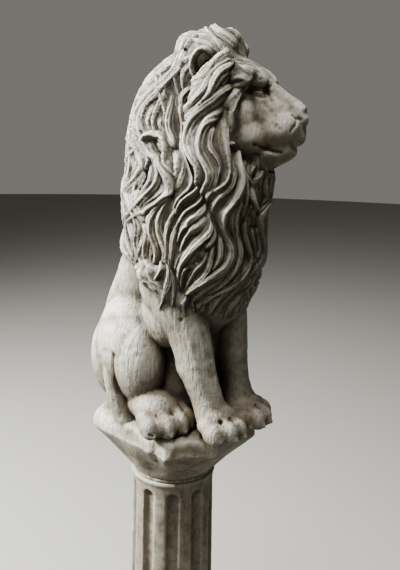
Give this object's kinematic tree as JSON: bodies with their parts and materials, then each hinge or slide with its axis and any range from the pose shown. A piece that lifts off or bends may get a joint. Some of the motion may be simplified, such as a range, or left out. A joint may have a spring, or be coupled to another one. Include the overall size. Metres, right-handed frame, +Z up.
{
  "type": "lion statue on a fluted column",
  "caption": "Seated stone lion with a long waved mane on a rocky base, bedded in mortar on a fluted garden column with a square foot.",
  "frame": {"origin": "centre of the column's foot at ground level, on the column's axis", "axes": "+Z up; the lion's body faces -Y; its right side is -X"},
  "size_m": [0.284, 0.3864, 1.4826],
  "materials": {
    "lion_stone": "weathered cast stone, grey-beige with dark grime in the carving",
    "column_stone": "weathered cast stone, slightly warmer than the lion, stained down its flutes",
    "mortar": "rough dark bedding mortar"
  },
  "bodies": {
    "root": {"lion_on_rocky_base": "lion_stone", "mortar_bed": "mortar", "fluted_column": "column_stone"}
  },
  "joints": []
}
